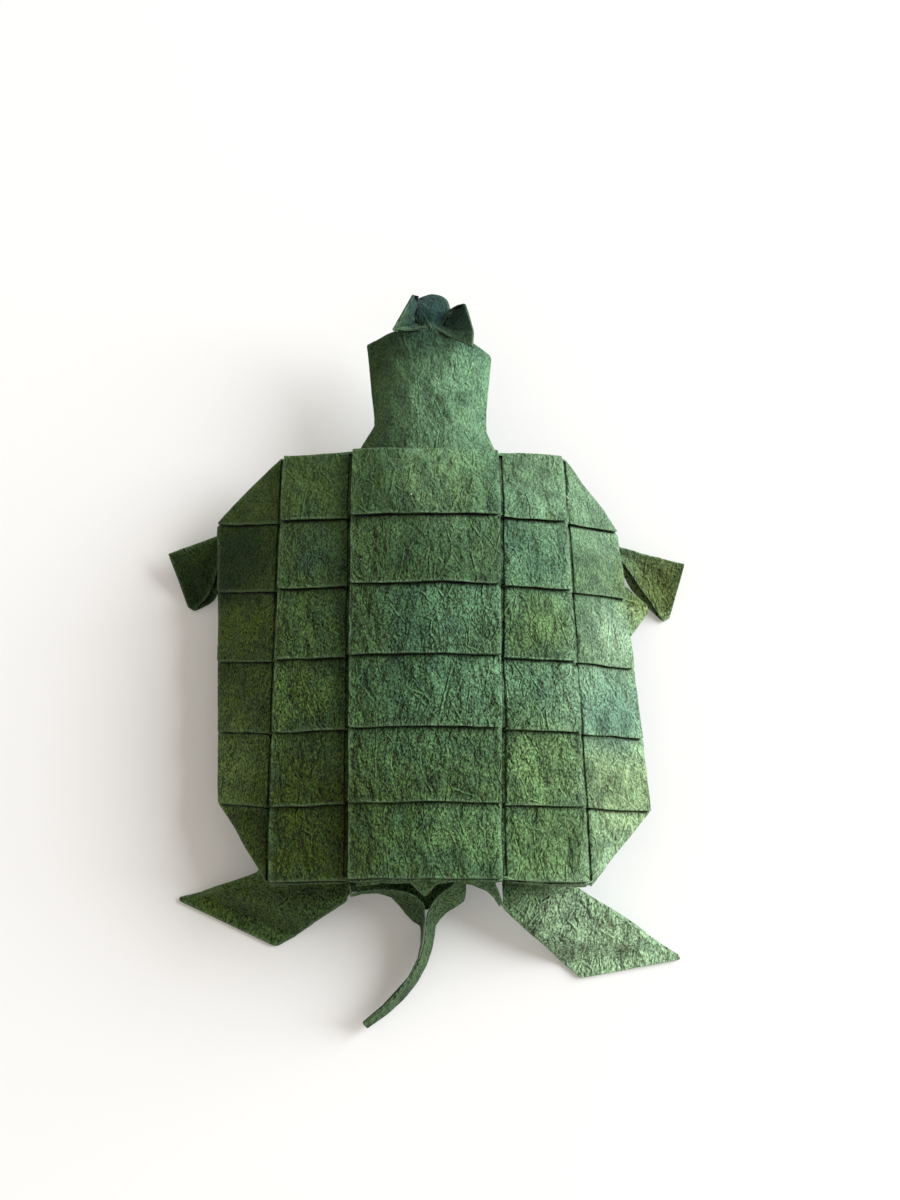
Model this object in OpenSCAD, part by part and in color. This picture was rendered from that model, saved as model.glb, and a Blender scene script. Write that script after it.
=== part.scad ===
// Origami turtle folded from one square of soft handmade paper.
// Table at z = 0, head towards +Y, the turtle's right side towards +X.
// The origin lies on the table, under the middle of the overall length and width.

/* [Paper] */
// Thickness of one layer of paper
paper_t = 0.25; // [0.2:0.01:0.32]
// Air between two layers that are folded onto each other
layer_gap = 0.15; // [0.1:0.01:0.25]
// Thickness of a leg, where two layers lie together
leg_t = 0.5; // [0.4:0.05:0.8]

/* [Shell] */
// Rows of tiles from front to rear
rows = 6; // [4:1:8]
// Length of the tile that shows in each row
tile_l = 9.8; // [8:0.1:13]
// Width of one column; the middle column is two of them wide
tile_w = 10.1; // [8:0.1:13]
// Width of an outer column seen from above
outer_w = 8.3; // [6:0.1:11]
// Height of the top of the shell above the table
shell_h = 17; // [14:0.5:24]
// Height of the rim of the shell above the table
rim_h = 5; // [4:0.1:6]
// Depth of the pleat that is tucked under each tile
pleat = 2.5; // [1.5:0.1:3]
// Drop from one column to the next
col_step = 1.25; // [1.15:0.05:1.6]
// Drop of the back towards the front and rear edges
back_drop = 2.6; // [0:0.1:5]
// Crown of the middle column across its width
mid_crown = 0.6; // [0:0.1:1.2]
// Fall of the inner columns across their width
inner_fall = 1.8; // [0.5:0.1:3]
// Swelling of a tile between its edges
tile_puff = 0.25; // [0:0.05:0.4]
// Widening of the left columns from front to rear
left_spread = 1; // [-2:0.1:4]
// Widening of the right columns from front to rear
right_spread = 2.8; // [-2:0.1:4]
// Widening of the left rim from front to rear
left_rim_spread = -1.8; // [-3:0.1:6]
// Widening of the right rim from front to rear
right_rim_spread = 5.6; // [-3:0.1:6]
// Forward lean of the row lines on the left rim
left_lean = 1.5; // [0:0.1:2]
// Forward lean of the row lines on the right rim
right_lean = 0.4; // [0:0.1:2]
// Width of the border folded under the rim
hem_w = 5; // [3:0.1:7]
// Length of the lower layer that shows behind the last row
rear_lip = 0.3; // [0.2:0.1:1.2]

/* [Neck and head] */
// Length of the neck from the shell to the top of the collar
neck_l = 17.3; // [12:0.1:19]
// Width of the neck where it leaves the shell
neck_root_w = 19.6; // [14:0.1:20]
// Width of the neck at its waist
neck_waist_w = 15.4; // [11:0.1:18]
// Width of the collar across its corners
collar_w = 18; // [13:0.1:22]
// Height of the collar above the table
collar_h = 15.5; // [12:0.1:18]
// Fall of the neck from its middle to its side edges
neck_fall = 3.6; // [2:0.1:5]
// Length of the snout in front of the collar
snout_l = 5.7; // [4.5:0.1:8]
// Width of the snout
snout_w = 5.4; // [4:0.1:7]
// Turn of the eye flaps to the right, in degrees
head_turn = 10; // [-12:1:12]
// Length of the standing edge of an eye flap
eye_l = 6.2; // [5:0.1:8]
// Height of an eye flap above the snout
eye_h = 2.4; // [1:0.1:4]
// Sideways reach of an eye flap's corner
eye_out = 5.7; // [5:0.1:7]

/* [Legs] */
// Reach of the front legs beyond the rim
front_leg_out = 7.7; // [5:0.1:12]
// Length of a front leg from its tip to its lower corner
front_leg_l = 8; // [6:0.1:11]
// Width of the foot that lies flat on the table
foot_w = 3; // [2:0.1:4]
// Reach of the left hind leg behind the shell
left_hind_reach = 7.1; // [5:0.1:10]
// Reach of the right hind leg behind the shell
right_hind_reach = 11.3; // [5:0.1:13]
// Sideways reach of a hind leg beyond the inner columns
hind_out = 12.5; // [8:0.1:14]
// Lead of the left hind leg's tip before its heel
left_hind_lead = 6.1; // [2:0.1:8]
// Lead of the right hind leg's tip before its heel
right_hind_lead = 2.4; // [2:0.1:8]

/* [Tail] */
// Reach of the tail behind the shell
tail_reach = 17.9; // [13:0.1:22]
// Height of the tail where it leaves the body
tail_h = 5.4; // [4:0.1:7]
// Sideways reach of the tail's tip
tail_swing = 8.2; // [3:0.1:12]
// Spread of the tail's right layer at the table
tail_spread = 1.2; // [0.8:0.1:2]

/* [Hidden] */
shell_l = rows * tile_l;
layer = paper_t + layer_gap;
slope = 2 * layer / tile_l;
head_reach = neck_l + snout_l;
front_y = (shell_l + tail_reach - head_reach) / 2;
top_z = shell_h - slope * (tile_l + pleat) - paper_t / 2;
peak_v = 0.45 * shell_l;
half_span = 2 * tile_w + outer_w + front_leg_out;
floor_z = leg_t / 2;
neck_tuck = 4;
collar_dip = 2.2;
snout_run = snout_l - paper_t / 2;
head_x = 1.1;
snout_x = 0.6;
neck_x = 0.5;
tail_x = 0.15;
tail_part = 2.6;

function mix(a, b, s) = a + (b - a) * s;
function unit(p) = p / norm(p);

// A point given by its sideways place, its distance behind the shell's front edge and its height.
function at(x, v, z) = [x, front_y - v, z];

// Columns: side -1 is left, 1 is right and 0 is the middle one.
function spread(side, v, left, right) = (side < 0 ? left : right) * (v / shell_l - 0.5);
function column_edge(side, v) = 2 * tile_w + spread(side, v, left_spread, right_spread);
function rim_edge(side, v) = 2 * tile_w + outer_w + spread(side, v, left_rim_spread, right_rim_spread);
function cut(v) = min(1, max(0, min(v, shell_l - v)) / tile_l);
function outer_edge(side, v) =
    let (a = column_edge(side, v))
    mix(a + 0.4, rim_edge(side, v), cut(v));

// Height of the folded layers' base under each column.
function back_z(v) = top_z - back_drop * pow((v - peak_v) / (shell_l / 2), 2);
function middle_z(x, v) = back_z(v) - mid_crown * pow(x / tile_w, 2);
function inner_z(side, x, v) =
    x < tile_w
    ? middle_z(x, v) - col_step
    : middle_z(tile_w, v) - col_step - inner_fall * (x - tile_w) / (column_edge(side, v) - tile_w);
function outer_z(side, x, v) =
    let (a = column_edge(side, v))
    let (b = rim_edge(side, v))
    x < a
    ? inner_z(side, x, v) - col_step
    : mix(inner_z(side, a, v) - col_step, rim_h, (x - a) / (b - a));
function base_z(kind, side, x, v) =
    kind == 0 ? middle_z(x, v)
    : kind == 1 ? inner_z(side, x, v)
    : outer_z(side, x, v);
function far_edge(kind, side, v) =
    kind == 1 ? column_edge(side, v) : outer_edge(side, v);
function lean(side, x, v) =
    let (a = column_edge(side, v))
    x < a ? 0 : (side < 0 ? left_lean : right_lean) * (x - a) / (rim_edge(side, v) - a);

// Height of a tile above its base, counted from its row's hidden front end.
function rise(v, row) = slope * (v - row * tile_l + pleat);

// Knife pleats from front to rear: distance, height above the base and share of the swelling.
function tile_path(row) = concat(
    row == 0
    ? [[pleat + 2, rise(pleat + 2, 0) - layer, 0], [0, rise(0, 0) - layer, 0]]
    : [[row * tile_l - pleat, rise(row * tile_l - pleat, row), 0]],
    [for (k = [0:3]) let (v = (row + k / 3) * tile_l) [v, rise(v, row), pow(sin(60 * k), 2)]],
    [let (v = (row + 1) * tile_l) [v, rise(v, row) - layer, 0]],
    [let (v = (row + 1) * tile_l - pleat) [v, rise(v, row) - layer, 0]]
);
function lip_path() =
    let (v = shell_l + rear_lip)
    [
        [shell_l - pleat, rise(shell_l - pleat, rows), 0],
        [v, rise(v, rows), 0],
        [v, rise(v, rows) - layer, 0],
        [shell_l - pleat, rise(shell_l - pleat, rows) - layer, 0]
    ];
column_path = concat([for (row = [0:rows - 1]) each tile_path(row)], lip_path());

// Share s of the width: below hidden it is under the neighbour, and above it the tile shows.
hidden = 1 / 3;
function column_x(kind, side, s, v) =
    let (show = kind == 1 ? tile_w : column_edge(side, v))
    kind == 0 ? mix(-tile_w, tile_w, s)
    : s < hidden ? mix(show - pleat, show, s / hidden)
    : mix(show, far_edge(kind, side, v), (s - hidden) / (1 - hidden));
function column_point(kind, side, s, p) =
    let (x = column_x(kind, side, s, p[0]))
    let (u = kind == 0 ? s : max(0, (s - hidden) / (1 - hidden)))
    let (puff = tile_puff * p[2] * 4 * u * (1 - u))
    let (z = base_z(kind, side, abs(x), p[0]) + p[1] + puff)
    at(side < 0 ? -x : x, p[0] - (kind == 2 ? lean(side, x, p[0]) : 0), z);
function column_grid(kind, side, n) =
    [for (p = column_path) [for (j = [0:n]) column_point(kind, side, j / n, p)]];

// A layer of paper along a grid of points, with mitred folds from row to row.
function across(g, i, j) =
    let (a = g[i][max(j - 1, 0)])
    let (b = g[i][min(j + 1, len(g[0]) - 1)])
    unit(b - a);
function step_normal(g, i, j) = unit(cross(across(g, i, j), g[i + 1][j] - g[i][j]));
function fold_offset(g, i, j) =
    let (last = len(g) - 1)
    let (n1 = step_normal(g, max(i - 1, 0), j))
    let (n2 = step_normal(g, min(i, last - 1), j))
    (n1 + n2) / (1 + n1 * n2);

module paper(g, t) {
    rows_n = len(g);
    cols_n = len(g[0]);
    half = rows_n * cols_n;
    points = concat(
        [for (i = [0:rows_n - 1], j = [0:cols_n - 1]) g[i][j] + fold_offset(g, i, j) * t / 2],
        [for (i = [0:rows_n - 1], j = [0:cols_n - 1]) g[i][j] - fold_offset(g, i, j) * t / 2]
    );
    skin = [
        for (i = [0:rows_n - 2], j = [0:cols_n - 2])
        let (a = i * cols_n + j)
        each [[a, a + cols_n, a + 1], [a + 1, a + cols_n, a + cols_n + 1]]
    ];
    rim = concat(
        [for (j = [0:cols_n - 1]) j],
        [for (i = [1:rows_n - 1]) i * cols_n + cols_n - 1],
        [for (j = [cols_n - 2:-1:0]) (rows_n - 1) * cols_n + j],
        [for (i = [rows_n - 2:-1:1]) i * cols_n]
    );
    wall = [
        for (k = [0:len(rim) - 1])
        let (a = rim[k])
        let (b = rim[(k + 1) % len(rim)])
        each [[a, b, a + half], [b, b + half, a + half]]
    ];
    polyhedron(
        points,
        concat(skin, [for (f = skin) [f[2] + half, f[1] + half, f[0] + half]], wall),
        convexity = 10
    );
}

// Flat facets of folded paper between pairs of points.
module facets(ribs, t) {
    for (i = [0:len(ribs) - 2])
        hull()
            for (p = concat(ribs[i], ribs[i + 1]))
                translate(p)
                    cube(t, center = true);
}

module shell_column(kind, side, n) {
    g = column_grid(kind, side, n);
    paper(side < 0 ? [for (r = g) [for (j = [n:-1:0]) r[j]]] : g, paper_t);
}

// Stretch of each row where a tile lies alone, clear of the pleats before and behind it.
function clear_from(row) = row * tile_l + (row == 0 ? pleat + 2.2 : 0.2);
function clear_to(row) = (row + 1) * tile_l - pleat - 0.2;

// Layer that turns back under a column's edge and runs to the hidden edge of the next column.
module column_fold(kind, side, row) {
    g = [
        for (v = [clear_from(row), clear_to(row)])
        let (p = [v, rise(v, row), 0])
        let (a = column_point(kind, kind == 0 ? 1 : side, 1, p))
        let (b = column_point(kind + 1, side, 0, p))
        let (x = kind == 0 ? side * a[0] : a[0])
        [[x - side * paper_t / 3, a[1], a[2]], [b[0] + side * paper_t / 3, b[1], b[2]]]
    ];
    paper(side < 0 ? [for (r = g) [r[1], r[0]]] : g, paper_t);
}

// Border folded under the rim: it meets the tiles and passes below the pleats.
function hem_point(side, w, v) =
    let (x = outer_edge(side, v) - w)
    let (a = column_edge(side, v))
    let (z = min(outer_z(side, max(x, a), v), outer_z(side, a, v)) - layer - 0.22 * w)
    at(side * x, v - lean(side, max(x, a), v), z);
function hem_row(side, v, row) =
    let (q = column_point(2, side, 1, [v, row < 0 ? -1.4 * layer : rise(v, row), 0]))
    [[q[0] - side * paper_t / 3, q[1], q[2]], hem_point(side, 1, v), hem_point(side, hem_w, v)];
module rim_hem(side) {
    g = [
        for (row = [0:rows - 1])
        let (cut_off = row == 0 || row == rows - 1)
        each [
            hem_row(side, clear_from(row), row),
            if (cut_off) hem_row(side, (clear_from(row) + clear_to(row)) / 2, row),
            hem_row(side, clear_to(row), row),
            hem_row(side, clear_to(row) + 0.4, -1),
            hem_row(side, (row + 1) * tile_l - 0.2, -1)
        ]
    ];
    paper(side < 0 ? [for (r = g) [r[2], r[1], r[0]]] : g, paper_t);
}

// Neck: an arched strip that comes out from under the front edge.
function neck_half(f) =
    let (waist = 0.27 * neck_l)
    f < waist
    ? mix(neck_root_w, neck_waist_w, pow(sin(90 * max(f, 0) / waist), 2)) / 2
    : mix(neck_waist_w, collar_w, pow((f - waist) / (neck_l - waist), 1.4)) / 2;
function neck_front(s) =
    neck_l - collar_dip * pow(abs(s), 1.5) - s * collar_w / 2 * tan(head_turn / 2);
function neck_z(f) =
    let (root = back_z(0) + rise(0, 0) - 2 * layer - 0.3)
    let (tuck = back_z(neck_tuck) + rise(neck_tuck, 0) - layer + 0.1)
    f < 0 ? mix(root, tuck, -f / neck_tuck) : mix(root, collar_h, pow(f / neck_l, 1.3));
function neck_point(k, s) =
    let (f = k * (neck_front(s) + neck_tuck) - neck_tuck)
    let (e = pow(abs(s), 2.2))
    at(s * neck_half(f) + neck_x * min(1, max(0, f / 4)), -f, neck_z(f) - neck_fall * e);
module neck() {
    paper([for (k = [0:7]) [for (j = [-3:3]) neck_point(k / 7, j / 3)]], paper_t);
}

// Head: a snout with an eye flap standing up on each side, the flaps turned a little to the right.
function snout_half(k) =
    let (share = k < 0.55 ? mix(0.55, 1, sin(90 * k / 0.55)) : sqrt(1 - pow((k - 0.55) / 0.46, 2)))
    share * snout_w / 2;
function snout_z(k) = k < 0 ? 2.4 * k : mix(0, -2.4, pow(k, 2));
function snout_point(j, k) =
    let (half = snout_half(max(k, 0)))
    at(snout_x + half * j, -neck_l - k * snout_run, collar_h + snout_z(k) - 0.6 * pow(j, 2));
module snout() {
    stations = [-0.3, 0, 0.2, 0.4, 0.6, 0.75, 0.87, 0.95, 1];
    paper([for (k = stations) [for (j = [-1:0.5:1]) snout_point(j, k)]], paper_t);
}
function flap_at(x, f, z) =
    let (c = cos(head_turn))
    let (d = sin(head_turn))
    at(head_x + x * c + f * d, -neck_l - f * c + x * d, collar_h + z);
// Standing edge of a flap from corner to tip: sideways from eye_out, share of eye_l and share of eye_h.
left_flap = [[-0.3, -0.38, 0.75], [-0.7, -0.2, 0.82], [-1.25, 0.02, 0.9], [-2.3, 0.51, 1], [-2.9, 0.5, 0.9]];
right_flap = [[0.2, -0.45, 0.75], [0, -0.1, 0.82], [-1.1, 0.25, 0.95], [-1.95, 0.5, 1], [-3, 0.43, 0.9]];
function flap_edge(side, i) =
    let (p = (side < 0 ? left_flap : right_flap)[i])
    flap_at(side * (eye_out + p[0]), p[1] * eye_l, p[2] * eye_h);
function eye_point(side, i, k) =
    let (under = [0, 0, 0.9 * min(k, 1)])
    let (base = mix(snout_point(side * 0.1, -0.03), snout_point(side * 0.9, 0.6), k / 4) - under)
    let (edge = flap_edge(side, k))
    i == 0 ? base
    : i == 1 ? mix(base, edge, 0.5) - [0, 0, 0.6 + 0.3 * sin(45 * k)]
    : let (turned = i - 2)
    mix(edge, base, 0.12 * turned) - [0, 0, turned * (1.3 + 0.12 * k)];
module eye_sheet(side, lines, last) {
    g = [for (i = lines) [for (k = [0:last]) eye_point(side, i, side > 0 ? last - k : k)]];
    paper(g, paper_t * 1.4);
}
module eye(side) {
    eye_sheet(side, [0, 1, 2], 4);
    eye_sheet(side, [2.08, 3], 3);
}

// Front legs: two layers with a closed outer edge and an open lower edge, narrow at the rim.
function front_leg_edge(side, v, foot, k) =
    let (rim = outer_edge(side, v))
    let (tip = [half_span - paper_t / 2, v + 2, 3.4])
    let (end = [half_span - foot + 0.9, tip[1] + front_leg_l * 0.87, paper_t * 1.2])
    let (leave = [rim, v, rim_h + 0.3])
    k < 1 ? mix([rim - 4, v - 1.4, rim_h + 1.1], leave, k)
    : k < 4 ? mix(leave, tip, (k - 1) / 3)
    : mix(tip, end, (k - 4) / 4);
function front_leg_back(side, v, open, foot, bow, k) =
    let (rim = outer_edge(side, v))
    let (leave = [rim, v + open, rim_h - 0.6])
    let (end = [half_span - foot, v + 2.3 + front_leg_l * 0.9, paper_t * 1.2])
    let (s = (k - 1) / 7)
    k < 1 ? mix([rim - 4, v - 0.5 + 0.5 * open, rim_h + 0.6], leave, k)
    : mix(leave, end, s) + bow * sin(180 * s) * [-0.75, 0.5, 0];
module front_leg(side, v, open, foot, bow) {
    for (under = [0, 1]) {
        g = [
            for (k = [0:8])
            let (swell = sin(22.5 * k))
            let (a = front_leg_edge(side, v, foot, k))
            let (b = front_leg_back(side, v, open, foot, bow, k))
            let (c = b + under * swell * [-0.9, 0.5, -0.8])
            [
                for (j = [0:2])
                let (p = mix(a, c, j / 2))
                at(side * p[0], p[1], p[2] - 0.7 * sin(90 * j) * swell - under * 0.15)
            ]
        ];
        paper(side > 0 ? [for (r = g) [r[2], r[1], r[0]]] : g, paper_t);
    }
}

// Corner of the belly layer that shows behind the right front leg.
module belly_corner() {
    v = 2.1 * tile_l;
    facets([
        [hem_point(1, 4, v - 5) + [0, 0, 0.2], hem_point(1, 4, v + 5) + [0, 0, 0.2]],
        [at(rim_edge(1, v) - 0.4, v - 4, rim_h - 0.9), at(rim_edge(1, v) - 0.4, v + 4.6, rim_h - 0.9)],
        [at(rim_edge(1, v) + 3, v - 1.2, rim_h - 2), at(rim_edge(1, v) + 3, v - 0.2, rim_h - 2)]
    ], paper_t);
}

// Belly layer that joins the roots of the hind legs under the tail.
module belly_band() {
    rear = [[-1.1, 0.9], [-0.6, 0.5], [0.02, 3.2], [0.45, -0.8], [1.1, -0.8]];
    g = [
        for (front = [true, false])
        [
            for (e = rear)
            at(e[0] * tile_w, shell_l + (front ? -5 : e[1]), rim_h + 0.5 - 1.5 * cos(80 * e[0]))
        ]
    ];
    paper(g, paper_t);
}

// Hind legs: flat flaps that come down from the rim to the table.
module hind_leg(side, reach, lead, root_x) {
    v = shell_l;
    edge = column_edge(side, v);
    tip = at(side * (edge + hind_out), v + reach - lead, floor_z);
    heel = at(side * (edge - 0.5), v + reach, floor_z);
    a = at(side * (edge + root_x), v - 0.8 - 0.4 * root_x, rim_h - 0.2);
    b = at(side * tile_w * 1.06, v + 0.25 * reach, rim_h + 0.4);
    root = hem_point(side, 4, v - 4) + [0, 0, 0.35];
    facets([
        [root, [side * tile_w, root[1], root[2]]],
        [a, b],
        [mix(a, tip, 0.45), mix(b, heel, 0.45)],
        [foot_line(a, tip), foot_line(b, heel)],
        [tip, heel]
    ], leg_t);
}
function foot_line(a, p) =
    let (q = p + unit([a[0] - p[0], a[1] - p[1], 0]) * foot_w)
    [q[0], q[1], floor_z];

// Tail: two layers that stand on the table and part at the body; the right one leans out further.
function tail_mid(k) =
    at(
        tail_x - (tail_swing + tail_x) * pow(k, 2.8),
        shell_l + tail_part + (tail_reach - tail_part) * k,
        mix(tail_h, 0.55 * tail_h, pow(k, 2))
    );
function tail_side(k) =
    let (d = tail_mid(k + 0.02) - tail_mid(k - 0.02))
    unit([-d[1], d[0], 0]);
function tail_foot(side, k) =
    side > 0
    ? mix(tail_spread, 0.5 * tail_spread, k)
    : tail_spread * (0.25 + 0.6 * pow(1 - k, 4) + 0.3 * pow(sin(360 * max(0, k - 0.5)), 2));
function tail_grid(side, arm) =
    concat(
        [
            for (p = arm)
            let (a = at(p[0] * tile_w, shell_l + p[1], p[2]))
            let (b = at(p[0] * tile_w + side * p[3], shell_l + p[1] + p[3], p[4]))
            [a, mix(a, b, 0.5), b]
        ],
        [
            for (k = [0.07, 0.16, 0.3, 0.45, 0.6, 0.73, 0.86, 1])
            let (m = tail_mid(k))
            let (n = side * tail_side(k))
            let (gap = mix(paper_t * 0.62, 0.05, pow(k, 2)))
            let (back = [0, -1.3 * pow(1 - k, 5), 0])
            let (foot = tail_foot(side, k))
            [
                m + n * gap,
                [m[0], m[1], m[2] * 0.55] + n * mix(gap, foot, 0.4) + back / 2,
                [m[0], m[1], 0.3 + 0.9 * k] + n * foot + back
            ]
        ]
    );
module tail() {
    z = rim_h + 1;
    top = back_z(shell_l - 4) + rise(shell_l - 4, rows - 1) - 0.1;
    left = [
        [-0.96, -4, top - mid_crown, 0.1, z + 3],
        [-1, 0, z + 3.5, 0.1, z + 2],
        [-0.97, 1.5, z + 2.5, 0.1, z + 1.2],
        [-0.82, 1.05, z + 2.2, 0.1, z + 0.8],
        [-0.62, 0.75, z + 1.9, 0.2, z],
        [-0.4, 0.75, z + 1.4, 0.5, z - 2],
        [-0.22, 1.1, z + 0.8, 1.2, 2.4],
        [-0.09, 1.7, z + 0.3, 1.6, 1.2],
        [-0.01, 2.5, z, 1.6, 0.7]
    ];
    right = [
        [0.45, -4, top - 0.2 * mid_crown, 0.6, z + 3],
        [0.42, -0.6, z + 4, 1.2, z + 1],
        [0.36, 0.3, z + 2.8, 1.6, z - 0.5],
        [0.25, 0.9, z + 1.9, 1.6, 4],
        [0.15, 1.6, z + 1, 1.4, 2.2],
        [0.08, 2.5, z + 0.2, 1.2, 1.1]
    ];
    paper(tail_grid(-1, left), paper_t);
    paper([for (r = tail_grid(1, right)) [r[2], r[1], r[0]]], paper_t);
}

// Layers that hang from the last row, each given by its lower edge: width, reach behind the shell, height.
function curtain_top(x) =
    let (v = shell_l - 4)
    let (e = 0.68 * x)
    at(e, v, middle_z(abs(e), v) + rise(v, rows - 1) - 0.1);
function curtain_low(p) = at(p[0] * tile_w, shell_l + p[1], rim_h + p[2]);
module curtain(low) {
    g = [
        for (p = low)
        let (a = curtain_top(p[0] * tile_w))
        let (b = curtain_low(p))
        [a, mix(a, b, 0.7) + [0, 0, 0.1 * (a[2] - b[2])], b]
    ];
    paper(g, paper_t);
}
// Apron over the tail, with a point in its middle.
module apron() {
    curtain([
        [-0.92, 0.7, 5],
        [-0.55, 0.45, 5.5],
        [-0.2, 0.4, 5.6],
        [0, 1.8, 3.2],
        [0.15, 0.4, 5.4],
        [0.45, -0.2, 5.6]
    ]);
}
// Beside the tail an edge of two layers arches down to the right hind leg.
arch_low = [[0.52, 0.2, 5], [0.68, 0.5, 4.1], [0.84, 1.1, 2.8], [0.97, 2, 1.4], [1.05, 3, 0.2]];
module arch() {
    curtain(arch_low);
    paper([
        for (p = arch_low)
        let (a = curtain_top(p[0] * tile_w))
        let (b = curtain_low(p))
        [mix(a, b, 0.45) + [-0.2, 0.1, 0.5], mix(a, b, 0.8), b - [0.6, -0.3, 0.5]]
    ], paper_t);
}

module folded_sheet() {
    color([0.3, 0.42, 0.28]) {
        shell_column(0, 0, 4);
        for (side = [-1, 1]) {
            shell_column(1, side, 3);
            shell_column(2, side, 3);
            for (kind = [0, 1], row = [0:rows - 1])
                column_fold(kind, side, row);
            rim_hem(side);
            eye(side);
        }
        neck();
        snout();
        front_leg(-1, 1.01 * tile_l, 4.7, 3.6, 0.8);
        front_leg(1, 1.17 * tile_l, 1.1, 3, 0);
        belly_corner();
        belly_band();
        hind_leg(-1, left_hind_reach, left_hind_lead, 1.8);
        hind_leg(1, right_hind_reach, right_hind_lead, -1.8);
        tail();
        apron();
        arch();
    }
}

folded_sheet();
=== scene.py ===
"""Looks of the folded paper turtle: a square of hand-dyed mulberry paper, crumpled soft, then folded."""

import math

import bpy
import bmesh
import numpy as np
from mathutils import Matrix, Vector
from mathutils.bvhtree import BVHTree
from mathutils.kdtree import KDTree


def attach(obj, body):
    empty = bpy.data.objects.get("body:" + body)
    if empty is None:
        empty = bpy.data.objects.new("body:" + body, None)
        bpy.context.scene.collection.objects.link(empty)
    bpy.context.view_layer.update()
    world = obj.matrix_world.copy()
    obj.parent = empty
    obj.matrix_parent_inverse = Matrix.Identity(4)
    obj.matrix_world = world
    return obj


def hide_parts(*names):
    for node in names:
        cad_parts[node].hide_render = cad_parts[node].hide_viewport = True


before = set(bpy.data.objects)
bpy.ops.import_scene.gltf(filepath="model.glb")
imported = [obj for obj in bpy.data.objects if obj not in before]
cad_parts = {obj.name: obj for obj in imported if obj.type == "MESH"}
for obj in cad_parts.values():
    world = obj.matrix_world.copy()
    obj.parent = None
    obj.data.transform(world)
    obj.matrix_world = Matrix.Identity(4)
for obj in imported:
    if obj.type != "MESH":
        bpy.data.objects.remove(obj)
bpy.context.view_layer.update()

MM = 0.001

# The fold pattern, in millimetres, as the solid has it: the shell's front edge, its tiles and rows, and
# how much each side widens from neck to tail.
FRONT_Y = 26.85
TILE_L = 9.8
TILE_W = 10.1
ROWS = 6
SHELL_L = ROWS * TILE_L
LEFT_SPREAD = 1.0
RIGHT_SPREAD = 2.8

# The first tile's place on the dyed sheet and the way from there to the next column and row, in
# millimetres. The way is longer than the paper that a pleat hides, so that tiles side by side show other
# parts of the dye.
SHEET_START = (-41, -111.25)
SHEET_JUMP = (53.8, -15.85)

# Longest edge of the paper's mesh, in millimetres: under other layers, in the open, beside an open fold,
# and in the crevice beside a column of tiles.
HIDDEN_EDGE = 2.4
OPEN_EDGE = 0.75
FOLD_EDGE = 0.36
CREVICE_EDGE = 0.2

# The turn from which an edge is a fold and, in millimetres, the way between points on it and the reach of
# its wear.
FOLD_TURN = math.radians(35)
FOLD_STEP = 0.15
FOLD_REACH = 0.45

# Heights in millimetres: below the first the paper rests on the table and stays as it is, above the second
# it is loose.
RESTING = 0.4
LOOSE = 2.5

# Depth in millimetres of the crevice beside the left of the middle column, and the shares of it beside the
# right and further out.
CREVICE_DEPTH = 0.9
RIGHT_SHARE = 0.65
OUTER_SHARE = 0.4

# Height of the crease along the back, and how far it lies to the right of the middle, in millimetres.
SPINE_HEIGHT = 0.4
SPINE_X = 0.5


def srgb(hex_colour):
    """A linear RGBA colour from an sRGB hex value."""
    parts = [int(hex_colour[i : i + 2], 16) / 255 for i in (1, 3, 5)]
    return [c / 12.92 if c <= 0.04045 else ((c + 0.055) / 1.055) ** 2.4 for c in parts] + [1.0]


def add_node(tree, kind, links=None, **settings):
    """A node with its settings; links gives each input a value or the output that feeds it.

    A colour Mix takes its factor at 0 and its two colours at 6 and 7, and gives the mixture at output 2.
    """
    node = tree.nodes.new(kind)
    for name, value in settings.items():
        setattr(node, name, value)
    for socket, source in (links or {}).items():
        if isinstance(source, bpy.types.NodeSocket):
            tree.links.new(source, node.inputs[socket])
        else:
            node.inputs[socket].default_value = source
    return node


def select_only(piece):
    """Deselects everything else and makes the piece active."""
    bpy.ops.object.select_all(action="DESELECT")
    piece.select_set(True)
    bpy.context.view_layer.objects.active = piece


def apply_modifier(piece, kind, name, **settings):
    """Adds a modifier with its settings and applies it."""
    modifier = piece.modifiers.new(name, kind)
    for key, value in settings.items():
        setattr(modifier, key, value)
    select_only(piece)
    bpy.ops.object.modifier_apply(modifier=name)


def points_of(mesh):
    """The mesh's points in millimetres."""
    co = np.empty(len(mesh.vertices) * 3)
    mesh.vertices.foreach_get("co", co)
    return co.reshape(-1, 3) / MM


def smooth_step(low, high, value):
    """0 below low, 1 above high and an even curve between them."""
    t = np.clip((value - low) / (high - low), 0, 1)
    return t * t * (3 - 2 * t)


def open_sky(tree, point):
    """True where nothing lies above the point, so that the paper shows there."""
    return tree.ray_cast(point, Vector((0, 0, 1)))[0] is None


def fold_points(piece, tree):
    """Points along the outward fold edges that nothing covers from above, in millimetres."""
    solid = bmesh.new()
    solid.from_mesh(piece.data)
    found = []
    for edge in solid.edges:
        if len(edge.link_faces) != 2 or edge.calc_face_angle_signed(0) < FOLD_TURN:
            continue
        a, b = (v.co for v in edge.verts)
        outward = (edge.link_faces[0].normal + edge.link_faces[1].normal).normalized()
        steps = max(1, int((b - a).length / (FOLD_STEP * MM)))
        for k in range(steps + 1):
            p = a.lerp(b, k / steps)
            if open_sky(tree, p + outward * 0.02 * MM):
                found.append(p / MM)
    solid.free()
    return found


def distance_to(points, places):
    """Distance in millimetres from each place to the nearest of the points."""
    tree = KDTree(len(points))
    for i, p in enumerate(points):
        tree.insert(p, i)
    tree.balance()
    return np.array([tree.find(p)[2] for p in places])


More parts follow.
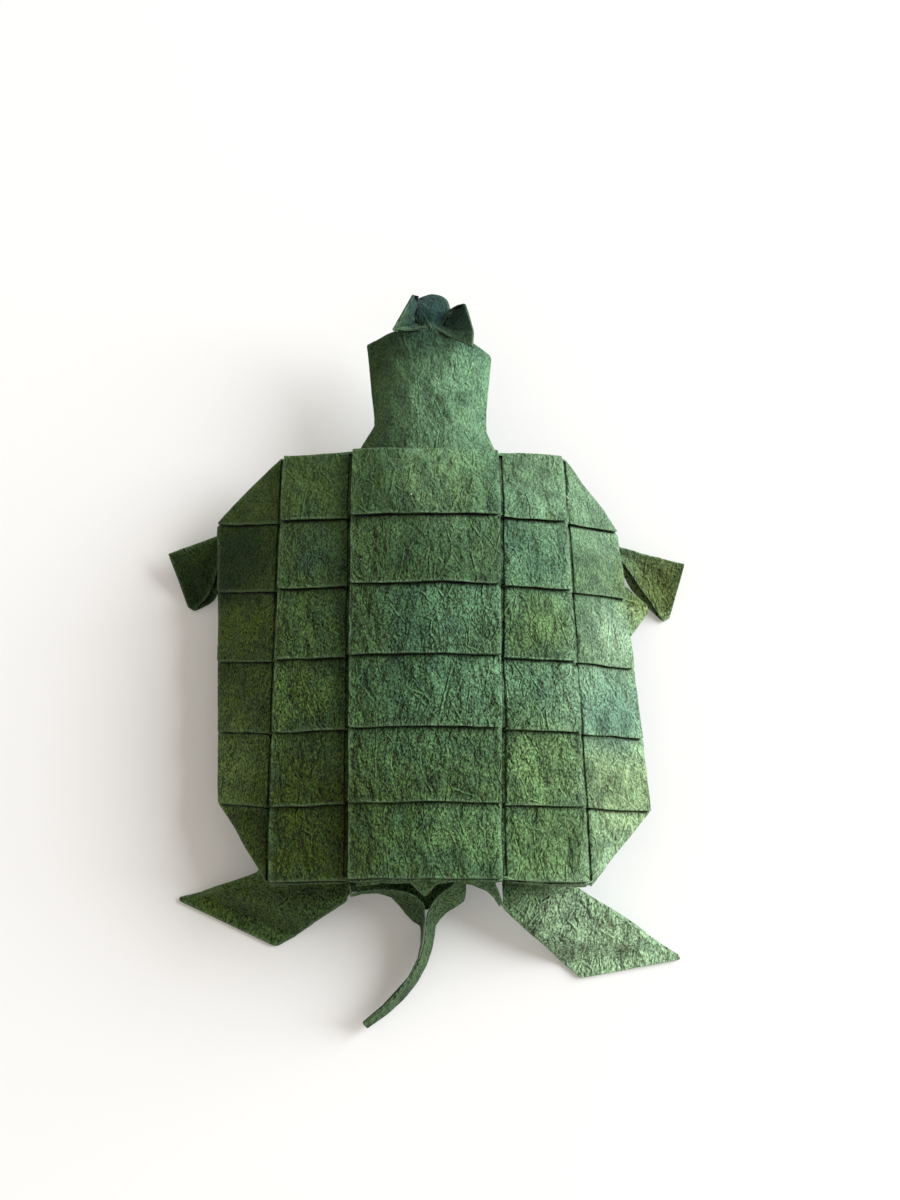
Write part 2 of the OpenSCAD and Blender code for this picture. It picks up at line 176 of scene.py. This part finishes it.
def on_the_shell(x, y):
    """How far a point lies behind the shell's front edge, and how far out the second column ends there.

    Both are in millimetres.
    """
    behind = FRONT_Y - y
    spread = np.where(x < 0, LEFT_SPREAD, RIGHT_SPREAD)
    return behind, 2 * TILE_W + spread * (behind / SHELL_L - 0.5)


def outside_step(points):
    """Distance in millimetres outward from the step beside a column of tiles.

    In front of the tiles and behind them it is far.
    """
    behind, edge = on_the_shell(points[:, 0], points[:, 1])
    x = np.abs(points[:, 0])
    outward = np.where(x < TILE_W + 3, x - TILE_W, x - edge)
    return np.where((behind > 0.3) & (behind < SHELL_L - 0.3), outward, 99)


def longest_edge(tree, folds, middle, length):
    """The longest edge allowed at each edge's middle, in millimetres.

    An edge counts as beside a fold within 0.15 mm and a quarter of its own length.
    """
    limit = np.full(len(length), HIDDEN_EDGE)
    for i in np.nonzero(length > CREVICE_EDGE)[0]:
        if open_sky(tree, Vector(middle[i]) * MM + Vector((0, 0, 0.01 * MM))):
            limit[i] = OPEN_EDGE
    shown = np.nonzero(limit == OPEN_EDGE)[0]
    beside = distance_to(folds, middle[shown]) < 0.15 + 0.25 * length[shown]
    limit[shown[beside]] = FOLD_EDGE
    step = outside_step(middle[shown])
    limit[shown[(step > -0.1) & (step < 0.5)]] = CREVICE_EDGE
    return limit


def split_long_edges(piece, tree, folds):
    """Splits edges until the paper that shows can take crumples, most finely beside the open folds.

    The Subdivide operator leaves five-sided faces that overlap when they are cut into triangles, so each
    triangle is cut here by the number of its edges that are too long, and the sheet stays closed.
    """
    mesh = piece.data
    co = points_of(mesh)
    faces = np.array([p.vertices for p in mesh.polygons])
    for _ in range(9):
        pairs = np.sort(np.stack([faces, np.roll(faces, -1, axis=1)], axis=2).reshape(-1, 2), axis=1)
        edges, of_face = np.unique(pairs, axis=0, return_inverse=True)
        middle = (co[edges[:, 0]] + co[edges[:, 1]]) / 2
        length = np.linalg.norm(co[edges[:, 0]] - co[edges[:, 1]], axis=1)
        long = length > longest_edge(tree, folds, middle, length)
        if not long.any():
            break
        added = np.where(long, len(co) + np.cumsum(long) - 1, -1)
        co = np.vstack([co, middle[long]])
        half = added[of_face.reshape(-1, 3)]
        count = (half >= 0).sum(axis=1)
        cut = [faces[count == 0]]
        # Each face is turned so that its one long edge, or the first of its two, runs from a to b: m is the
        # middle of that edge, and n of the next one.
        for number, first in ((1, half >= 0), (2, half < 0)):
            rows = np.nonzero(count == number)[0]
            turn = (np.argmax(first[rows], axis=1)[:, None] + np.arange(3) + (number == 2)) % 3
            a, b, c = faces[rows[:, None], turn].T
            m, n, _ = half[rows[:, None], turn].T
            if number == 1:
                cut += [np.stack([a, m, c], axis=1), np.stack([m, b, c], axis=1)]
            else:
                near = np.linalg.norm(co[a] - co[n], axis=1) < np.linalg.norm(co[m] - co[c], axis=1)
                cut += [np.stack([m, b, n], axis=1)]
                cut += [np.stack([a, m, np.where(near, n, c)], axis=1)]
                cut += [np.stack([np.where(near, a, m), n, c], axis=1)]
        whole = count == 3
        (a, b, c), (m, n, o) = faces[whole].T, half[whole].T
        cut += [np.stack(corners, axis=1) for corners in ((a, m, o), (m, b, n), (o, n, c), (m, n, o))]
        faces = np.vstack(cut)
    mesh.clear_geometry()
    mesh.from_pydata((co * MM).tolist(), [], faces.tolist())


def weigh(piece, name, weights):
    """A vertex group with a weight for each point."""
    group = piece.vertex_groups.new(name=name)
    levels = np.round(np.clip(weights, 0, 1) * 20).astype(int)
    for level in range(1, 21):
        index = np.nonzero(levels == level)[0]
        if len(index):
            group.add(index.tolist(), level / 20, "REPLACE")


def crumple_texture(name, size, depth):
    """Soft clouds whose blotches are size millimetres wide."""
    texture = bpy.data.textures.new(name, "CLOUDS")
    texture.noise_scale = size * MM
    texture.noise_depth = depth
    return texture


def facet_texture(name, size):
    """Flat cells about size millimetres wide with sharp ridges between them, as in crumpled paper."""
    texture = bpy.data.textures.new(name, "VORONOI")
    texture.noise_scale = size * MM
    texture.weight_1 = -1
    texture.weight_2 = 1
    texture.noise_intensity = 2
    return texture


def make_folded_paper(node):
    """The solid's own folds, with soft fold edges, wavering layers and a crumpled surface."""
    piece = bpy.data.objects.new("folded_paper", node.data.copy())
    bpy.context.collection.objects.link(piece)
    piece.data.materials.clear()
    # The solid comes as loose triangles. The Merge by Distance operator can't join at less than 0.001 mm, too
    # far for the thinnest faces, so the points are joined here.
    solid = bmesh.new()
    solid.from_mesh(piece.data)
    bmesh.ops.remove_doubles(solid, verts=solid.verts, dist=0.0001 * MM)
    tree = BVHTree.FromBMesh(solid)
    solid.to_mesh(piece.data)
    solid.free()
    folds = fold_points(piece, tree)
    split_long_edges(piece, tree, folds)

    co = points_of(piece.data)
    x, y, z = co.T
    loose = smooth_step(RESTING, LOOSE, z)
    weigh(piece, "loose", loose)
    weigh(piece, "fold", 1 - smooth_step(0.1, FOLD_REACH, distance_to(folds, co)))
    apply_modifier(piece, "SMOOTH", "rounded_folds", factor=0.5, iterations=2, vertex_group="fold")

    behind, _ = on_the_shell(x, y)
    on_rows = smooth_step(0, 2, behind) * (1 - smooth_step(SHELL_L - 2, SHELL_L, behind))
    weigh(piece, "spine", np.clip(1 - np.abs(x - SPINE_X) / (TILE_W - SPINE_X), 0, 1) * on_rows)
    # The crevice is deepest from 0.16 to 0.22 mm outside the step, and ends at 0.55 mm.
    step = outside_step(co)
    crevice = smooth_step(0, 0.16, step) * (1 - smooth_step(0.22, 0.55, step)) * loose
    share = np.where(np.abs(x) < 1.5 * TILE_W, np.where(x < 0, 1, RIGHT_SHARE), OUTER_SHARE)
    weigh(piece, "crevice", crevice * share)
    for name, height in (("spine", SPINE_HEIGHT), ("crevice", -CREVICE_DEPTH)):
        apply_modifier(
            piece, "DISPLACE", name, direction="Z", strength=height * MM, mid_level=0, vertex_group=name
        )

    # Direction, pattern and height in millimetres of each way in which the loose paper is crumpled.
    waver = crumple_texture("waver", 7, 1)
    crumple = crumple_texture("crumple", 2.2, 2)
    facets = facet_texture("facets", 4)
    for axis, texture, height in (
        ("Z", waver, 0.5),
        ("Y", waver, 0.35),
        ("X", waver, 0.35),
        ("Z", crumple, 0.22),
        ("Z", facets, -0.4),
    ):
        apply_modifier(
            piece,
            "DISPLACE",
            "crumpled_" + axis,
            texture=texture,
            texture_coords="LOCAL",
            direction=axis,
            strength=height * MM,
            mid_level=0.5,
            vertex_group="loose",
        )
    # Heights count more than sideways distances here, so that wear on a fold doesn't reach the layer below.
    tall = np.array([1, 1, 2.5])
    away = distance_to(np.array(folds) * tall, co * tall)
    worn = piece.data.attributes.new("worn_fold", "FLOAT", "POINT")
    worn.data.foreach_set("value", 1 - smooth_step(0.05, FOLD_REACH, away))
    mark_sheet(piece)
    select_only(piece)
    bpy.ops.object.shade_smooth_by_angle(angle=math.radians(40))
    piece.vertex_groups.clear()
    return piece


def mark_sheet(piece):
    """Marks how far the pleats shift each face on the dyed sheet: the dye jumps from tile to tile."""
    mesh = piece.data
    centre = np.empty(len(mesh.polygons) * 3)
    mesh.polygons.foreach_get("center", centre)
    x, y, _ = (centre.reshape(-1, 3) / MM).T
    behind, edge = on_the_shell(x, y)
    row = np.clip(np.floor((behind - 0.05) / TILE_L), -1, ROWS)
    column = np.where(np.abs(x) < TILE_W + 0.1, 0, np.where(np.abs(x) < edge + 0.1, 1, 2))
    column = np.where((row < 0) | (row >= ROWS), 0, column) * np.sign(x)
    hidden = np.stack(
        [
            column * SHEET_JUMP[0] + SHEET_START[0],
            row * SHEET_JUMP[1] + SHEET_START[1],
            np.zeros_like(x),
        ],
        axis=1,
    )
    sheet = mesh.attributes.new("hidden_paper", "FLOAT_VECTOR", "FACE")
    sheet.data.foreach_set("vector", hidden.astype(np.float32).ravel())


def dyed_mulberry_paper():
    """Mulberry paper, hand-made, dyed with a brush and crumpled soft.

    It gives the eye a felt of fibres, small soft wrinkles, a dye that is mottled from blue-green to olive,
    and no shine. Painted light is mixed into its colour: it is paler on the side towards the window and
    darker away from it, darkened as painted shade deep in the folds, and paler on the crease ridges as a
    painted highlight.
    """
    material = bpy.data.materials.new("dyed_mulberry_paper")
    material.use_nodes = True
    tree = material.node_tree
    tree.nodes.clear()
    place = add_node(tree, "ShaderNodeTexCoord")
    mm = add_node(
        tree,
        "ShaderNodeVectorMath",
        {0: place.outputs["Object"], 1: (1000, 1000, 1000)},
        operation="MULTIPLY",
    )
    hidden = add_node(tree, "ShaderNodeAttribute", attribute_name="hidden_paper")
    flat = add_node(
        tree, "ShaderNodeVectorMath", {0: mm.outputs[0], 1: hidden.outputs["Vector"]}, operation="ADD"
    )

    # Dye, olive at the left edge of the sheet, deep green in the middle and paler towards the right hind
    # corner. It is
    # partly the dye and partly painted light: paler on the right, where the window lights the paper, darker
    # away from it.
    askew = add_node(
        tree, "ShaderNodeVectorMath", {0: mm.outputs[0], 1: (1 / 60, -0.08 / 60, 0)}, operation="DOT_PRODUCT"
    )
    across = add_node(tree, "ShaderNodeMath", {0: askew.outputs["Value"], 1: 0.5}, operation="ADD")
    dye_and_painted_side_light = add_node(tree, "ShaderNodeValToRGB", {"Fac": across.outputs[0]})
    stops = dye_and_painted_side_light.color_ramp.elements
    stops[0].position, stops[0].color = 0.05, srgb("#455a26")
    stops[1].position, stops[1].color = 1.0, srgb("#84a281")
    for position, colour in ((0.25, "#395027"), (0.5, "#3e5e41"), (0.75, "#587a59"), (0.9, "#779677")):
        stops.new(position).color = srgb(colour)

    # Broad bands of weaker and stronger dye, olive where it is weak. Pleats bring distant bands together.
    bands = add_node(tree, "ShaderNodeMapping", {"Vector": flat.outputs[0], "Scale": (0.5, 1, 0.3)})
    pools = add_node(tree, "ShaderNodeTexNoise", {"Vector": bands.outputs[0], "Scale": 1 / 16, "Detail": 1.5})
    olive = add_node(
        tree,
        "ShaderNodeMapRange",
        {"Value": pools.outputs["Fac"], "From Min": 0.35, "From Max": 0.55, "To Min": 0.4, "To Max": 0.0},
    )
    green = add_node(
        tree,
        "ShaderNodeMix",
        {0: olive.outputs[0], 6: dye_and_painted_side_light.outputs["Color"], 7: srgb("#4f6c33")},
        data_type="RGBA",
    )
    tone = add_node(
        tree,
        "ShaderNodeMapRange",
        {"Value": pools.outputs["Fac"], "From Min": 0.36, "From Max": 0.6, "To Min": 0.78, "To Max": 1.18},
    )

    # Stains where the brush was loaded or left dry: place and width in millimetres, colour, and strength.
    # They are
    # partly painted light: most pale ones lie on the right, towards the window, as painted light, and most
    # dark ones lie on the left, away from it, as painted shade.
    stains_and_painted_light = green.outputs[2]
    for spot, width, colour, strength in (
        ((3, 50, 12), 15, "#1c3b38", 0.95),
        ((4, 34, 11), 12, "#6f9672", 0.85),
        ((33, 9, 4), 9, "#6e8040", 0.8),
        ((-32, 9, 4), 10, "#1c3406", 0.9),
        ((-27, 13, 9), 8, "#1e3a10", 0.9),
        ((-28, -18, 8), 12, "#657f45", 0.6),
        ((28, -20, 8), 11, "#8fa873", 0.55),
        ((23, -38, 3), 15, "#9cbc94", 0.9),
        ((2, 22, 18), 9, "#5f7c52", 0.7),
        ((-4, -30, 12), 26, "#476130", 0.6),
        ((27, -9, 10), 8, "#3f6355", 0.65),
        ((-16, -24, 12), 13, "#36460a", 0.9),
        ((-18, -6, 11), 8, "#4a632c", 0.8),
        ((-15, 12, 12), 6, "#28422e", 0.5),
        ((-25, 2, 9), 8, "#47581a", 0.5),
        ((16, -27, 12), 9, "#567344", 0.8),
        ((15, -17, 12), 7, "#70925c", 0.9),
        ((15, 12, 13), 6, "#48684e", 0.5),
        ((26, 2, 10), 6, "#9ab894", 0.5),
        ((15, 2, 13), 6, "#5d7a44", 0.6),
        ((18, 24, 13), 10, "#7fa07c", 0.45),
    ):
        away = add_node(tree, "ShaderNodeVectorMath", {0: mm.outputs[0], 1: spot}, operation="DISTANCE")
        near = add_node(
            tree,
            "ShaderNodeMapRange",
            {
                "Value": away.outputs["Value"],
                "From Min": 0.4 * width,
                "From Max": width,
                "To Min": strength,
                "To Max": 0,
            },
        )
        stain_and_painted_light = add_node(
            tree, "ShaderNodeMix", {0: near.outputs[0], 6: stains_and_painted_light, 7: srgb(colour)}, data_type="RGBA"
        )
        stains_and_painted_light = stain_and_painted_light.outputs[2]

    # Darker blots of 3 mm.
    blots = add_node(tree, "ShaderNodeTexNoise", {"Vector": flat.outputs[0], "Scale": 1 / 3, "Detail": 4.0})
    dark = add_node(
        tree,
        "ShaderNodeMapRange",
        {"Value": blots.outputs["Fac"], "From Min": 0.36, "From Max": 0.56, "To Min": 0.4, "To Max": 0.0},
    )
    dye = add_node(
        tree,
        "ShaderNodeMix",
        {0: dark.outputs[0], 6: stains_and_painted_light, 7: srgb("#16332a")},
        data_type="RGBA",
    )

    # Felt of short fibres laid every way. They are about 0.02 mm wide, too fine to show, so the light and
    # dark grain is drawn 0.2 mm wide, and the relief 0.7 mm.
    laid = add_node(
        tree, "ShaderNodeMapping", {"Vector": flat.outputs[0], "Rotation": (0, 0, 0.3), "Scale": (1, 0.6, 1)}
    )
    felt = add_node(
        tree,
        "ShaderNodeTexNoise",
        {"Vector": laid.outputs[0], "Scale": 1 / 0.7, "Detail": 2.0, "Roughness": 0.5, "Distortion": 0.5},
    )
    grain = add_node(
        tree,
        "ShaderNodeTexNoise",
        {"Vector": laid.outputs[0], "Scale": 1 / 0.2, "Detail": 1.5, "Distortion": 0.5},
    )
    # Creases of the crumpled sheet: facets about 5 mm wide with broken ridges between them, and finer ones of
    # 2.4 mm.
    bend = add_node(tree, "ShaderNodeTexNoise", {"Vector": flat.outputs[0], "Scale": 1 / 2.5, "Detail": 2.0})
    drift = add_node(
        tree,
        "ShaderNodeVectorMath",
        {0: bend.outputs["Color"], 1: (0.8, 0.8, 0.8), 2: flat.outputs[0]},
        operation="MULTIPLY_ADD",
    )
    # Facet size in millimetres, the share of it that the ridge takes, and the turn of the whole.
    creases = facets = None
    for size, width, turn in ((5.0, 0.04, 0.3), (2.4, 0.06, -0.4)):
        lay = add_node(
            tree,
            "ShaderNodeMapping",
            {"Vector": drift.outputs[0], "Rotation": (0, 0, turn), "Scale": (1, 0.55, 1)},
        )
        cells = add_node(
            tree,
            "ShaderNodeTexVoronoi",
            {"Vector": lay.outputs[0], "Scale": 1 / size},
            feature="DISTANCE_TO_EDGE",
        )
        ridge = add_node(
            tree,
            "ShaderNodeMapRange",
            {
                "Value": cells.outputs["Distance"],
                "From Min": 0.0,
                "From Max": width,
                "To Min": 1.0,
                "To Max": 0.0,
            },
        )
        breaks = add_node(
            tree, "ShaderNodeTexNoise", {"Vector": lay.outputs[0], "Scale": 1 / size, "Detail": 1.0}
        )
        shown = add_node(
            tree, "ShaderNodeMapRange", {"Value": breaks.outputs["Fac"], "From Min": 0.46, "From Max": 0.6}
        )
        crease = add_node(
            tree, "ShaderNodeMath", {0: ridge.outputs[0], 1: shown.outputs[0]}, operation="MULTIPLY"
        )
        slope = add_node(
            tree, "ShaderNodeMath", {0: cells.outputs["Distance"], 1: size}, operation="MULTIPLY"
        )
        if creases is None:
            creases, facets = crease, slope
        else:
            creases = add_node(
                tree, "ShaderNodeMath", {0: creases.outputs[0], 1: crease.outputs[0]}, operation="MAXIMUM"
            )
            facets = add_node(
                tree, "ShaderNodeMath", {0: facets.outputs[0], 1: slope.outputs[0]}, operation="ADD"
            )
    # The middle of the back is crumpled most, neck and edges were stroked smooth, and the legs were crumpled
    # again.
    off = add_node(tree, "ShaderNodeVectorMath", {0: mm.outputs[0], 1: (-8, -12, 13)}, operation="DISTANCE")
    back = add_node(
        tree,
        "ShaderNodeMapRange",
        {"Value": off.outputs["Value"], "From Min": 15, "From Max": 40, "To Min": 1.0, "To Max": 0.55},
    )
    parts = add_node(tree, "ShaderNodeSeparateXYZ", {0: mm.outputs[0]})
    legs = add_node(
        tree,
        "ShaderNodeMapRange",
        {"Value": parts.outputs["Z"], "From Min": 5, "From Max": 8, "To Min": 0.2, "To Max": 0.0},
    )
    rough = add_node(tree, "ShaderNodeMath", {0: back.outputs[0], 1: legs.outputs[0]}, operation="ADD")
    # The dye is deep between the fibres, and the fibres are rubbed paler. The crease ridges are painted paler
    # too: a painted highlight on their crests, partly also rubbing.
    depth = add_node(
        tree,
        "ShaderNodeMapRange",
        {"Value": grain.outputs["Fac"], "From Min": 0.3, "From Max": 0.7, "To Min": -1.05, "To Max": 1.05},
    )
    grain_and_painted_crease_light = add_node(
        tree, "ShaderNodeMath", {0: creases.outputs[0], 1: 0.6, 2: depth.outputs[0]}, operation="MULTIPLY_ADD"
    )
    rub_and_crease_highlight = add_node(
        tree, "ShaderNodeMath", {0: grain_and_painted_crease_light.outputs[0], 1: rough.outputs[0], 2: 1.0}, operation="MULTIPLY_ADD"
    )
    weak_dye_and_crease_highlight = add_node(tree, "ShaderNodeMath", {0: rub_and_crease_highlight.outputs[0], 1: tone.outputs[0]}, operation="MULTIPLY")
    rubbed_and_crease_highlight = add_node(tree, "ShaderNodeHueSaturation", {"Color": dye.outputs[2], "Value": weak_dye_and_crease_highlight.outputs[0]})

    # Pale worn edges on the folds, and a few white flecks of bark, 0.2 mm wide and about 6 mm apart.
    worn = add_node(tree, "ShaderNodeAttribute", attribute_name="worn_fold")
    wear = add_node(tree, "ShaderNodeMath", {0: worn.outputs["Fac"], 1: 0.3}, operation="MULTIPLY")
    edged = add_node(
        tree,
        "ShaderNodeMix",
        {0: wear.outputs[0], 6: rubbed_and_crease_highlight.outputs[0], 7: srgb("#7d9a78")},
        data_type="RGBA",
    )
    cells = add_node(tree, "ShaderNodeTexVoronoi", {"Vector": flat.outputs[0], "Scale": 1 / 6})
    fleck = add_node(tree, "ShaderNodeMath", {0: cells.outputs["Distance"], 1: 0.018}, operation="LESS_THAN")
    colour = add_node(
        tree,
        "ShaderNodeMix",
        {0: fleck.outputs[0], 6: edged.outputs[2], 7: srgb("#d9e0d0")},
        data_type="RGBA",
    )

    # Painted shade: deep in the folds and crevices the colour is darkened to near black, by how closely paper
    # surrounds the point.
    shade = add_node(tree, "ShaderNodeAmbientOcclusion", {"Distance": 0.8 * MM}, samples=16, only_local=True)
    painted_fold_shade = add_node(
        tree,
        "ShaderNodeMapRange",
        {"Value": shade.outputs["AO"], "From Min": 0.52, "From Max": 0.78, "To Min": 1.0, "To Max": 0.0},
    )
    colour = add_node(
        tree,
        "ShaderNodeMix",
        {0: painted_fold_shade.outputs[0], 6: colour.outputs[2], 7: srgb("#040a05")},
        data_type="RGBA",
    )

    # Relief: what rises, and how far, in millimetres.
    relief = None
    for height, distance in (
        (felt.outputs["Fac"], 0.95),
        (facets.outputs[0], 0.3),
        (creases.outputs[0], 0.4),
    ):
        links = {"Height": height, "Distance": distance * MM, "Strength": rough.outputs[0]}
        if relief:
            links["Normal"] = relief.outputs[0]
        relief = add_node(tree, "ShaderNodeBump", links)
    paper = add_node(
        tree,
        "ShaderNodeBsdfPrincipled",
        {
            "Base Color": colour.outputs[2],
            "Normal": relief.outputs[0],
            "Roughness": 0.9,
            "Specular IOR Level": 0.2,
            "Sheen Weight": 0.05,
            "Sheen Roughness": 0.6,
        },
    )
    add_node(tree, "ShaderNodeOutputMaterial", {"Surface": paper.outputs[0]})
    return material


def white_card():
    """Matt white card, pressed smooth: near-white with no shine.

    It is lifted a little, to read white and keep the shadow.
    """
    material = bpy.data.materials.new("matt_white_card")
    material.use_nodes = True
    tree = material.node_tree
    tree.nodes.clear()
    card = add_node(tree, "ShaderNodeBsdfDiffuse", {"Color": srgb("#f2f2f2")})
    lift = add_node(tree, "ShaderNodeEmission", {"Color": srgb("#ffffff"), "Strength": 0.1})
    both = add_node(tree, "ShaderNodeAddShader", {0: card.outputs[0], 1: lift.outputs[0]})
    ray = add_node(tree, "ShaderNodeLightPath")
    mirrored = add_node(
        tree,
        "ShaderNodeMath",
        {0: ray.outputs["Is Camera Ray"], 1: ray.outputs["Is Glossy Ray"]},
        operation="ADD",
    )
    looked_at = add_node(
        tree,
        "ShaderNodeMath",
        {0: mirrored.outputs[0], 1: ray.outputs["Is Transmission Ray"]},
        operation="ADD",
    )
    seen = add_node(
        tree, "ShaderNodeMixShader", {0: looked_at.outputs[0], 1: card.outputs[0], 2: both.outputs[0]}
    )
    add_node(tree, "ShaderNodeOutputMaterial", {"Surface": seen.outputs[0]})
    return material


def make_floor():
    """A wide sheet of card just under the feet."""
    bpy.ops.object.select_all(action="DESELECT")
    bpy.ops.mesh.primitive_plane_add(size=6, location=(0, 0, -0.03 * MM))
    floor = bpy.context.active_object
    floor.name = "floor_card"
    bpy.ops.object.transform_apply(location=True, rotation=True, scale=True)
    floor.data.materials.append(white_card())


def make_light():
    """A large soft window low on the turtle's right, a little towards its head, and a dim warm room."""
    azimuth, elevation, distance = math.radians(18), math.radians(24), 3.0
    toward = Vector(
        (
            math.cos(azimuth) * math.cos(elevation),
            math.sin(azimuth) * math.cos(elevation),
            math.sin(elevation),
        )
    )
    window = bpy.data.lights.new("window", "AREA")
    window.shape = "DISK"
    window.size = 2.7
    window.energy = 167
    window.color = (0.96, 1.0, 1.05)
    lamp = bpy.data.objects.new("window", window)
    lamp.location = toward * distance
    lamp.rotation_euler = toward.to_track_quat("Z", "Y").to_euler()
    bpy.context.collection.objects.link(lamp)
    world = bpy.data.worlds.new("room")
    bpy.context.scene.world = world
    world.use_nodes = True
    room = world.node_tree.nodes["Background"]
    room.inputs["Color"].default_value = srgb("#fff4e4")
    room.inputs["Strength"].default_value = 0.45


def make_camera():
    """Looks down on the back from the tail side, 300 mm away, 75 degrees above the table."""
    target = Vector((3.3, 4.85, 16)) * MM
    tilt = math.radians(75)
    camera = bpy.data.objects.new("camera", bpy.data.cameras.new("camera"))
    camera.location = target + Vector((0, -math.cos(tilt), math.sin(tilt))) * 300 * MM
    camera.rotation_euler = (math.pi / 2 - tilt, 0, 0)
    camera.data.sensor_width = 36
    camera.data.lens = 67.5
    camera.data.clip_start = 0.01
    bpy.context.collection.objects.link(camera)
    bpy.context.scene.camera = camera


paper = make_folded_paper(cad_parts["folded_sheet"])
paper.data.materials.append(dyed_mulberry_paper())
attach(paper, "root")
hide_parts("folded_sheet")
make_floor()
make_light()
make_camera()
bpy.context.scene.view_settings.view_transform = "Standard"
